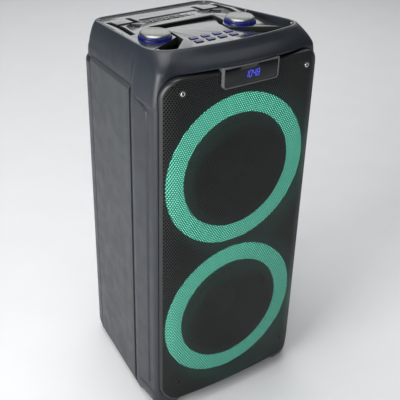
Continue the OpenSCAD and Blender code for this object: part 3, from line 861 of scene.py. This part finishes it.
PITCH = 4.0
HOLE_R = 1.72
SHEET = 1.2
GRILLE_MID_Z = (GRILLE_LOW + GRILLE_HIGH) / 2
GRILLE_H = GRILLE_HIGH - GRILLE_LOW
DISPLAY_LOW, DISPLAY_HIGH = box_mm("display_bezel")


def edge_distance(x, z):
    """Distance inwards from the grille's edge."""
    dx = np.abs(x) - (GRILLE_W / 2 - GRILLE_R)
    dz = np.abs(z - GRILLE_MID_Z) - (GRILLE_H / 2 - GRILLE_R)
    outside = np.hypot(np.maximum(dx, 0), np.maximum(dz, 0))
    return GRILLE_R - outside - np.minimum(np.maximum(dx, dz), 0)


def grille_y(x, z):
    """Front face of the grille's sheet: a shallow bulge that rolls back at the sides and edges."""
    roll = np.clip((np.abs(x) - 118) / 27, 0, 1)
    lip = np.clip(1 - edge_distance(x, z) / 5, 0, 1)
    return BAFFLE_Y - 22 + 8 * (2 * x / GRILLE_W) ** 2 + 11 * roll ** 2 + 1.6 * lip ** 2


def hole_cells():
    """Middles of the staggered holes."""
    row_step = PITCH * math.sqrt(3) / 2
    cells = []
    rows = int(GRILLE_H / row_step)
    across = int(GRILLE_W / PITCH)
    for r in range(rows + 1):
        z = GRILLE_MID_Z + (r - rows / 2) * row_step
        for c in range(across + 1):
            x = (c - across / 2 + (0.5 if r % 2 else 0)) * PITCH
            behind_display = abs(x) < DISPLAY_HIGH.x - 1 and z > DISPLAY_LOW.z + 1
            if edge_distance(x, z) > 2.4 and not behind_display:
                cells.append((x, z))
    return np.array(cells)


def make_perforated_sheet(name, cells):
    """Sheet metal with one six-sided hole in each cell, with both faces and the holes' walls."""
    turns = np.radians(30 + 60 * np.arange(6))
    ring = np.column_stack([np.cos(turns), np.sin(turns)])
    outer = cells[:, None] + ring * PITCH / math.sqrt(3)
    hole = cells[:, None] + ring * HOLE_R
    flat = np.concatenate([outer, hole, hole, outer], axis=1)
    behind = np.repeat([0, 0, SHEET, SHEET], 6)
    y = grille_y(flat[..., 0], flat[..., 1]) + behind
    points = np.stack([flat[..., 0], y, flat[..., 1]], axis=-1).reshape(-1, 3)
    unique, index = np.unique(np.round(points, 2), axis=0, return_inverse=True)
    index = index.reshape(len(cells), 24)
    k = np.arange(6)
    following = (k + 1) % 6
    faces = []
    for first, second in ((0, 6), (6, 12), (12, 18)):
        faces.append(np.stack([index[:, first + k], index[:, first + following],
                               index[:, second + following], index[:, second + k]], axis=-1).reshape(-1, 4))
    return add_mesh(name, unique, np.concatenate(faces).tolist(), M["grille"])


def make_grille():
    """The perforated field in three bands, with a plain rolled edge round it."""
    cells = hole_cells()
    bands = 3
    limits = np.linspace(GRILLE_LOW, GRILLE_HIGH, bands + 1)
    for i in range(bands):
        inside = (cells[:, 1] >= limits[i]) & (cells[:, 1] < limits[i + 1])
        piece = make_perforated_sheet(f"grille_sheet_{i + 1}", cells[inside])
        attach = go_with if i else stand_for
        attach(piece, "grille")
    depths = [(3.6, -0.15), (3.0, -0.25), (1.6, -0.1), (0.6, 0.5), (0, 1.6), (0, 4), (0, 9)]
    loops = []
    for inward, back in depths:
        outline = np.array(round_rect(GRILLE_W - 2 * inward, GRILLE_H - 2 * inward, GRILLE_R - inward,
                                      (0, GRILLE_MID_Z), 14))
        outline = refine_loop(outline, 12)
        y = np.minimum(grille_y(outline[:, 0], outline[:, 1]) + back, BAFFLE_Y + 2)
        loops.append(np.column_stack([outline[:, 0], y, outline[:, 1]]))
    loops = np.array(loops)
    loops = np.concatenate([loops, loops[:, :1]], axis=1)
    edge = clean(add_mesh("grille_edge", loops.reshape(-1, 3), grid_faces(*loops.shape[:2]), M["grille"], 60),
                 outward=False)
    modify(edge, "SOLIDIFY", 60, thickness=0.8 * MM, offset=0)
    go_with(edge, "grille")


def refine_loop(outline, longest):
    """Splits the long edges of a closed outline."""
    result = []
    for i, here in enumerate(outline):
        after = outline[(i + 1) % len(outline)]
        parts = max(1, int(np.ceil(np.linalg.norm(after - here) / longest)))
        result += [here + (after - here) * k / parts for k in range(parts)]
    return np.array(result)


def make_grille_screws():
    """Pan-head screws with a dished recess, each on a small dimpled washer."""
    for n in range(1, 5):
        x, _, z = middle_of(f"grille_screw_{n}")
        low, high = box_mm(f"grille_screw_{n}")
        head = low.y
        upper = z > GRILLE_MID_Z
        profile = [(0.01, 2.6), (1.7, 2.5), (1.95, 0.3), (2.3, 0.02), (3.0, 0.1), (3.7, 0.5), (4.0, 1.1),
                   (4.0, 1.5), (3.2, 1.5), (3.2, 3.2), (2.0, 3.2), (2.0, high.y - head),
                   (0.01, high.y - head)]
        screw = spin(f"grille_screw_{n}_head", profile, (x, head, z), M["screw" if upper else "dark_screw"],
                     "Y", 40)
        stand_for(screw, f"grille_screw_{n}")
        washer = spin(f"grille_washer_{n}", [(3.3, 1.7), (6.2, 1.45), (6.6, 1.9), (6.2, 2.6), (3.3, 2.6)],
                      (x, head, z), M["grille"], "Y", 40)
        go_with(washer, f"grille_screw_{n}")


# ---- display ---------------------------------------------------------------------------------------

DIGITS = {"1": "bc", "0": "abcdef", "4": "bcfg", "8": "abcdefg"}


def segment_outline(start, end, half, slant, origin):
    """A six-sided bar between two points of a digit, leaned by slant."""
    start, end = np.array(start, float), np.array(end, float)
    along = (end - start) / np.linalg.norm(end - start)
    across = np.array([-along[1], along[0]]) * half
    start, end = start + along * half * 0.25, end - along * half * 0.25
    points = [start, start + along * half + across, end - along * half + across,
              end, end - along * half - across, start + along * half - across]
    return [(origin[0] + p[0] + slant * p[1], origin[1] + p[1]) for p in points]


def make_digits():
    """Four seven-segment digits just in front of the window, with their unlit segments."""
    width, height = 4.4, 10.5
    corners = {"a": ((0, 1), (1, 1)), "b": ((1, 1), (1, 0.5)), "c": ((1, 0.5), (1, 0)), "d": ((0, 0), (1, 0)),
               "e": ((0, 0.5), (0, 0)), "f": ((0, 1), (0, 0.5)), "g": ((0, 0.5), (1, 0.5))}
    face = box_mm("display_window")[0].y
    pitch, slant, half_bar = 6.9, 0.12, 0.5
    middle = middle_of("display_bezel")
    lit, unlit = [], []
    for i, digit in enumerate("1048"):
        origin = (middle.x + 1 + (i - 1.5) * pitch - width / 2, middle.z - height / 2)
        for name, (start, end) in corners.items():
            ends = [(across * width, up * height) for across, up in (start, end)]
            outline = segment_outline(*ends, half_bar, slant, origin)
            on = name in DIGITS[digit]
            bar = plate(f"bar_{i}_{name}", outline, face - 0.3, face + 0.1,
                        M["display" if on else "unlit"], "Y", edge=0.05, segments=1)
            (lit if on else unlit).append(bar)
    go_with(join("display_digits", lit), "display_module")
    go_with(join("display_dark_segments", unlit), "display_module")


def make_display():
    """Bezel with a bright edge, smoked window and digits."""
    refined("display_bezel", "display_bezel_trim", M["bezel"], 0.45, 3)
    refined("display_window", "display_glass", M["window"], 0.25)
    make_digits()


# ---- woofers and light rings ------------------------------------------------------------------------

def make_woofer(which):
    """One driver with its light ring, turned about its own axis behind the baffle."""
    middle = middle_of(f"ring_lens_{which}")
    centre = (middle.x, BAFFLE_Y, middle.z)
    ring_r = radius_of(f"ring_lens_{which}")
    frame_r = radius_of(f"woofer_frame_{which}")
    cone_r = radius_of(f"woofer_cone_{which}")
    lens = [(frame_r + 0.6, 0), (frame_r + 0.6, -3), (frame_r + 2, -4.3)]
    for k in range(9):
        share = k / 8
        lens.append((frame_r + 4 + (ring_r - frame_r - 8) * share, -4.4 - 0.6 * math.sin(math.pi * share)))
    lens += [(ring_r - 1.6, -4.1), (ring_r, -2.8), (ring_r, 0)]
    glow = lit_ring(f"ring_glow_{which}", (0.13, 0.84, 0.58), 1.35, [c * MM for c in centre])
    stand_for(spin(f"light_ring_{which}", lens, centre, glow, "Y", 180), f"ring_lens_{which}")
    basket = [(frame_r - 0.1, -0.3), (frame_r - 0.4, -3.4), (frame_r - 1.4, -4), (frame_r - 4, -4),
              (frame_r - 5, -3.1), (frame_r - 7, -3.1), (frame_r - 8, -3.8), (cone_r + 11, -3.6),
              (cone_r + 11, -1.2), (frame_r - 10, -1.2), (frame_r - 10, 14), (54, 56), (54, 60), (26, 60),
              (26, 62.5), (57, 62.5), (57, 57), (frame_r - 9.2, 15), (frame_r - 9.2, 0)]
    stand_for(spin(f"woofer_basket_{which}", basket, centre, M["driver_frame"], "Y", 128),
              f"woofer_frame_{which}")
    roll = [(cone_r + 0.9, -0.2)]
    for k in range(1, 12):
        turn = math.pi * k / 12
        roll.append((cone_r + 5.2 - 4.3 * math.cos(turn), -0.4 - 4.6 * math.sin(turn)))
    roll += [(cone_r + 10.4, -0.9), (cone_r + 10.8, -2.0), (cone_r + 10.2, -0.1), (cone_r + 8.4, 0)]
    for k in range(11, 0, -1):
        turn = math.pi * k / 12
        roll.append((cone_r + 5.2 - 3.5 * math.cos(turn), -3.7 * math.sin(turn)))
    stand_for(spin(f"surround_roll_{which}", roll, centre, M["surround"], "Y", 128),
              f"woofer_surround_{which}")
    cone = [(cone_r, -1), (cone_r, 1.0)]
    neck_r, neck_depth, throat = 20, 44, 1.0
    slope = (neck_depth - throat) / (neck_r - cone_r)
    for k in range(1, 30):
        r = cone_r + (neck_r - cone_r) * k / 30
        cone.append((r, throat + slope * (r - cone_r) + 1.4))
    cone += [(neck_r, neck_depth), (neck_r, 74), (neck_r - 1, 74), (neck_r - 1, neck_depth - 2)]
    for k in range(29, 0, -1):
        r = cone_r + (neck_r - cone_r) * k / 30
        rib = 0.45 * math.cos(2 * math.pi * k / 5)
        cone.append((r, throat + slope * (r - cone_r) + rib - 0.2))
    stand_for(spin(f"cone_body_{which}", cone, centre, M["cone"], "Y", 128), f"woofer_cone_{which}")
    cap_r = 35
    cap_top, cap_back = (corner.y - BAFFLE_Y for corner in box_mm(f"dust_cap_{which}"))
    cap = []
    for sign, thick in ((1, 0), (-1, 1.2)):
        run = range(13) if sign > 0 else range(12, -1, -1)
        for k in run:
            r = (cap_r - thick) * k / 12 + (0.01 if k == 0 else 0)
            cap.append((r, cap_top + thick + (cap_back - cap_top - thick) * (k / 12) ** 2.2))
    stand_for(spin(f"dust_dome_{which}", cap, centre, M["surround"], "Y", 96), f"dust_cap_{which}")
    bolts, bolt_circle = [], 97
    head = [(0.01, -0.2), (1.0, -0.3), (1.2, -0.9), (2.2, -0.9), (2.7, -0.4), (2.8, 0.2), (0.01, 0.2)]
    for k in range(8):
        turn = math.radians(22.5 + 45 * k)
        place = (centre[0] + bolt_circle * math.cos(turn), BAFFLE_Y - 4,
                 centre[2] + bolt_circle * math.sin(turn))
        bolts.append(spin(f"bolt_{k}", head, place, M["dark_screw"], "Y", 20))
    go_with(join(f"basket_bolts_{which}", bolts), f"woofer_frame_{which}")


# ---- deck --------------------------------------------------------------------------------------------

def make_knob(side):
    """Spun metal cap over a flared clear ring that glows blue."""
    middle = middle_of(f"knob_{side}")
    centre = (middle.x, middle.y, 0)
    radius = radius_of(f"knob_{side}")
    ring_low, ring_high = box_mm(f"knob_ring_{side}")
    ring_r = radius_of(f"knob_ring_{side}")
    base, top = ring_low.z, box_mm(f"knob_{side}")[1].z
    cap_z = top - 3.8
    profile = [(0.01, top - 0.5), (8, top - 0.45), (radius - 5.2, top - 0.35), (radius - 4.6, top - 0.05),
               (radius - 3.9, top), (radius - 3.2, top - 0.25), (radius - 0.5, top - 2.0),
               (radius - 0.05, top - 2.5), (radius, cap_z + 0.5), (radius - 0.4, cap_z), (20.5, cap_z),
               (20.5, base + 1.5), (17.5, base + 1.5), (17.5, cap_z), (9, cap_z), (9, base + 1.5),
               (3.05, base + 1.5), (3.05, cap_z - 0.5), (0.01, cap_z - 0.5)]
    metal = spun_metal(f"knob_spun_{side}", (0.30, 0.31, 0.29), 0.34, [c * MM for c in centre])
    stand_for(spin(f"knob_cap_{side}", profile, centre, metal, steps=120), f"knob_{side}")
    flare = [(21.3, base), (ring_r - 0.9, base), (ring_r - 0.1, base + 0.7), (ring_r, base + 1.8),
             (ring_r - 0.5, base + 2.8), (radius + 0.5, ring_high.z - 0.5), (radius - 0.3, ring_high.z),
             (21.3, ring_high.z)]
    stand_for(spin(f"knob_flare_{side}", flare, centre, M["knob_light"], steps=120), f"knob_ring_{side}")
    edge = []
    for r, z, thick in ((ring_r - 0.55, base + 0.75, 0.5), (radius + 0.15, ring_high.z - 0.45, 0.3)):
        turns = [math.pi * k / 4 for k in range(8)]
        loop = [(r + thick * math.cos(turn), z + thick * math.sin(turn)) for turn in turns]
        edge.append(spin(f"edge_{len(edge)}", loop, centre, M["knob_edge"], steps=120))
    go_with(join(f"knob_glow_{side}", edge), f"knob_ring_{side}")


ICONS = {
    1: [[(-1.4, 1.2), (-1.4, -1.2), (0.4, 0)], [(0.8, 1.2), (0.8, -1.2), (1.3, -1.2), (1.3, 1.2)]],
    2: [[(-1, 1.3), (-1, -1.3), (1.3, 0)]],
    3: [[(1.4, 1.2), (-0.4, 0), (1.4, -1.2)], [(-1.3, 1.2), (-1.3, -1.2), (-0.8, -1.2), (-0.8, 1.2)]],
    4: [[(-1.3, 0.25), (-1.3, -0.25), (1.3, -0.25), (1.3, 0.25)]],
    5: [[(0, 1.3), (-1.2, -0.2), (1.2, -0.2)], [(-1.2, -0.7), (-1.2, -1.2), (1.2, -1.2), (1.2, -0.7)]],
    6: [[(-1.2, 1.2), (-1.2, -1.2), (1.2, -1.2), (1.2, 1.2)]],
    7: [[(x - 0.3, 1.2), (x - 0.3, -1.2), (x + 0.3, -1.2), (x + 0.3, 1.2)] for x in (-0.6, 0.6)],
    8: [[(0, 1.4), (-1.4, 0), (0, -1.4), (1.4, 0)]],
}


def make_button(n):
    """Rounded keycap with a lit border and a lit mark."""
    node = f"button_{n}"
    refined(node, f"keycap_{n}", M["button"], 0.45, 3)
    low, high = box_mm(node)
    x, y, _ = middle_of(node)
    size = (high.x - low.x - 2, high.y - low.y - 2)
    border = plate("border", round_rect(size[0] - 2.2, size[1] - 2.0, 1.0, (x, y), 4), high.z - 0.2,
                   high.z + 0.06, M["legend"], edge=0)
    inner = plate(f"key_field_{n}", round_rect(size[0] - 3.4, size[1] - 3.2, 0.7, (x, y), 4), high.z - 0.2,
                  high.z + 0.14, M["button"], edge=0.04, segments=1)
    marks = [plate("mark", [(x + a * 0.8, y + b * 0.8) for a, b in shape], high.z, high.z + 0.2,
                   M["legend"], edge=0) for shape in ICONS[n]]
    go_with(join(f"key_lights_{n}", [border] + marks), node)
    go_with(inner, node)


def make_sockets():
    """Jack sockets with a metal nut each, and the USB socket with its tongue."""
    sockets = {"jack_mic": (-41, 5.5, 3.2), "jack_guitar": (-15, 5.5, 3.2), "jack_aux": (4, 4, 1.78)}
    for node, (x, outer, bore) in sockets.items():
        y = middle_of(node).y
        high = box_mm(node)[1]
        refined(node, f"{node}_body", M["socket"], 0.15, 2)
        nut = [(bore + 0.15, high.z - 0.6), (bore + 0.15, high.z + 0.15), (bore + 0.5, high.z + 0.35),
               (outer - 0.9, high.z + 0.35), (outer - 0.5, high.z), (outer - 0.5, high.z - 0.6)]
        go_with(spin(f"{node}_nut", nut, (x, y, 0), M["nut"], steps=48), node)
    refined("usb_port", "usb_shell", M["usb"], 0.2, 2)
    place = middle_of("usb_port")
    high = box_mm("usb_port")[1]
    tongue = plate("usb_tongue", round_rect(10.6, 1.6, 0.3, (place.x, place.y + 1.0), 3), high.z - 12,
                   high.z - 1.6, M["socket"], edge=0.15)
    go_with(tongue, "usb_port")


def make_rim_clips():
    """Small bright caps where the rim is fastened: at its corners and the middle of its sides."""
    for n, q in enumerate((1.55, 2.52, 3.5)):
        for side in (-1, 1):
            x, y, z = (float(v[0]) for v in shell_point([q], np.array([RIM_Z]), 5.6))
            profile = [(0.01, 0.1), (1.5, 0.05), (2.1, -0.3), (2.3, -0.9), (2.3, -3.5), (0.01, -3.5)]
            clip = spin(f"rim_cap_{n}_{'left' if side < 0 else 'right'}", profile,
                        (side * x, y, z - 0.6), M["nut"], steps=32)
            go_with(clip, "top_shell")


def make_deck():
    """Gloss deck with its wells, the button panel, keys, knobs and sockets."""
    refined("control_deck", "deck_pods", M["deck"], 0.8, 3)
    refined("control_panel", "deck_panel", M["deck"], 0.8, 3)
    for n in range(1, 9):
        make_button(n)
    for side in ("left", "right"):
        make_knob(side)
    make_sockets()
    make_rim_clips()


# ---- rear and feet ------------------------------------------------------------------------------------

def make_rear():
    """Amplifier plate with screws, rocker, mains inlet and reflex port."""
    refined("amp_plate", "amp_fins", M["amp"], 0.12, 2)
    low, high = box_mm("amp_plate")
    head = [(0.01, 0.3), (1.0, 0.2), (1.3, 0.75), (2.4, 0.7), (3.1, 0.3), (3.2, -0.4), (0.01, -0.4)]
    screws = [spin("screw", head, (x, high.y - 0.95, z), M["screw"], "Y", 28)
              for x in (low.x + 8, 0, high.x - 8) for z in (low.z + 8, high.z - 8)]
    go_with(join("amp_screws", screws), "amp_plate")
    refined("power_switch", "rocker_cap", M["switch"], 0.5, 3)
    refined("mains_inlet", "inlet_body", M["socket"], 0.3, 2)
    place = middle_of("reflex_port")
    depth = REAR_Y - box_mm("reflex_port")[0].y
    radius = radius_of("reflex_port")
    inner = radius - 2.9
    flare = [(radius, 0.4), (radius - 0.2, 0.1), (inner + 2.4, 0.1)]
    for k in range(9):
        turn = math.pi / 2 * k / 8
        flare.append((inner + 2.4 - 2.4 * math.sin(turn), 0.1 + 6 * (1 - math.cos(turn))))
    flare += [(inner, depth), (radius, depth)]
    profile = [(r, -h) for r, h in flare]
    stand_for(spin("port_tube", profile, (place.x, REAR_Y, place.z), M["shell"], "Y", 96), "reflex_port")


def make_feet():
    """Round rubber feet with a groove and a dished sole."""
    for n in range(1, 5):
        high = box_mm(f"foot_{n}")[1]
        middle = middle_of(f"foot_{n}")
        centre = (middle.x, middle.y, 0)
        radius = radius_of(f"foot_{n}")
        profile = [(0.01, 0.8), (5, 0.8), (7, 0), (radius - 2.6, 0), (radius - 1.4, 0.5), (radius - 0.8, 1.8),
                   (radius - 0.7, 3.6), (radius - 1.1, 4), (radius - 0.6, 4.5), (radius, high.z - 0.6),
                   (radius, high.z), (0.01, high.z)]
        stand_for(spin(f"rubber_foot_{n}", profile, centre, M["foot"], steps=64), f"foot_{n}")


def finish_cad_nodes():
    """Materials for the CAD nodes that stay as they are."""
    chosen = {"cabinet": "baffle", "baffle": "baffle", "deck_tray": "tray", "display_module": "unlit",
              "ring_board_upper": "board", "ring_board_lower": "board", "woofer_magnet_upper": "magnet",
              "woofer_magnet_lower": "magnet", "knob_shaft_left": "shaft", "knob_shaft_right": "shaft",
              "encoder_left": "shaft", "encoder_right": "shaft"}
    for node, material in chosen.items():
        obj = frame["nodes"][node]
        for slot in obj.material_slots:
            slot.material = M[material]


make_camera()
make_studio()
for side, node in ((-1, "side_panel_left"), (1, "side_panel_right")):
    make_side_panel(side, node)
make_rear_cover()
make_front_frame()
make_top_shell()
make_grille()
make_grille_screws()
make_display()
for which in ("upper", "lower"):
    make_woofer(which)
make_deck()
make_rear()
make_feet()
finish_cad_nodes()
